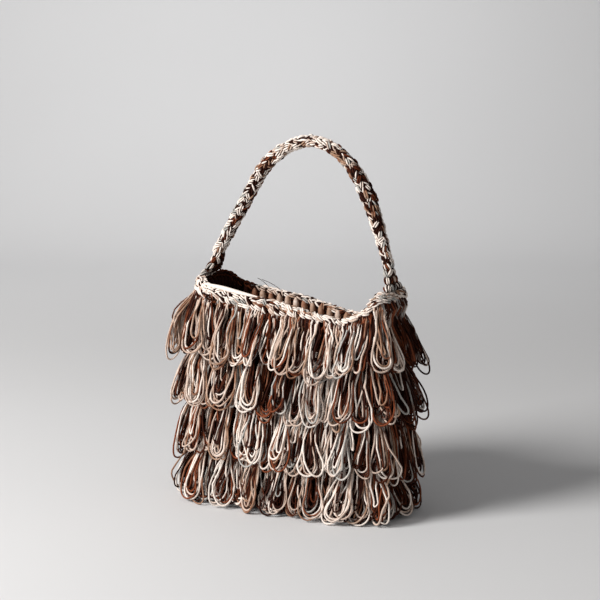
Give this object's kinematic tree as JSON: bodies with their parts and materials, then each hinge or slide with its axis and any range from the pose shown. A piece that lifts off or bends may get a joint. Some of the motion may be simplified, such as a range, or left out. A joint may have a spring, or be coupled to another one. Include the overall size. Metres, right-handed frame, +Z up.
{
  "type": "crochet satchel",
  "caption": "Small crocheted bag with an arched strap, an open stitched rim and tiers of hanging yarn loops all round a soft pouch that stands on its flat base.",
  "frame": {"origin": "middle of the pouch's flat base, on the surface it stands on", "axes": "+Z up through the mouth to the strap, +X along the bag's width to its lower rim side, +Y from the front wall to the back wall"},
  "size_m": [0.271, 0.1373, 0.3782],
  "materials": {
    "pouch_yarn": "crocheted rust and dark brown cotton yarn, matte",
    "rim_yarn": "crocheted cream and brown cotton yarn, matte",
    "strap_yarn": "crocheted mottled cream, tan, brown and grey cotton yarn, matte",
    "fringe_yarn": "loose variegated cotton yarn, cream, tan, rust and grey, matte"
  },
  "bodies": {
    "root": {"pouch": "pouch_yarn", "rim_band": "rim_yarn", "strap": "strap_yarn", "fringe_tier_1": "fringe_yarn", "fringe_tier_2": "fringe_yarn", "fringe_tier_3": "fringe_yarn", "fringe_tier_4": "fringe_yarn"}
  },
  "joints": []
}
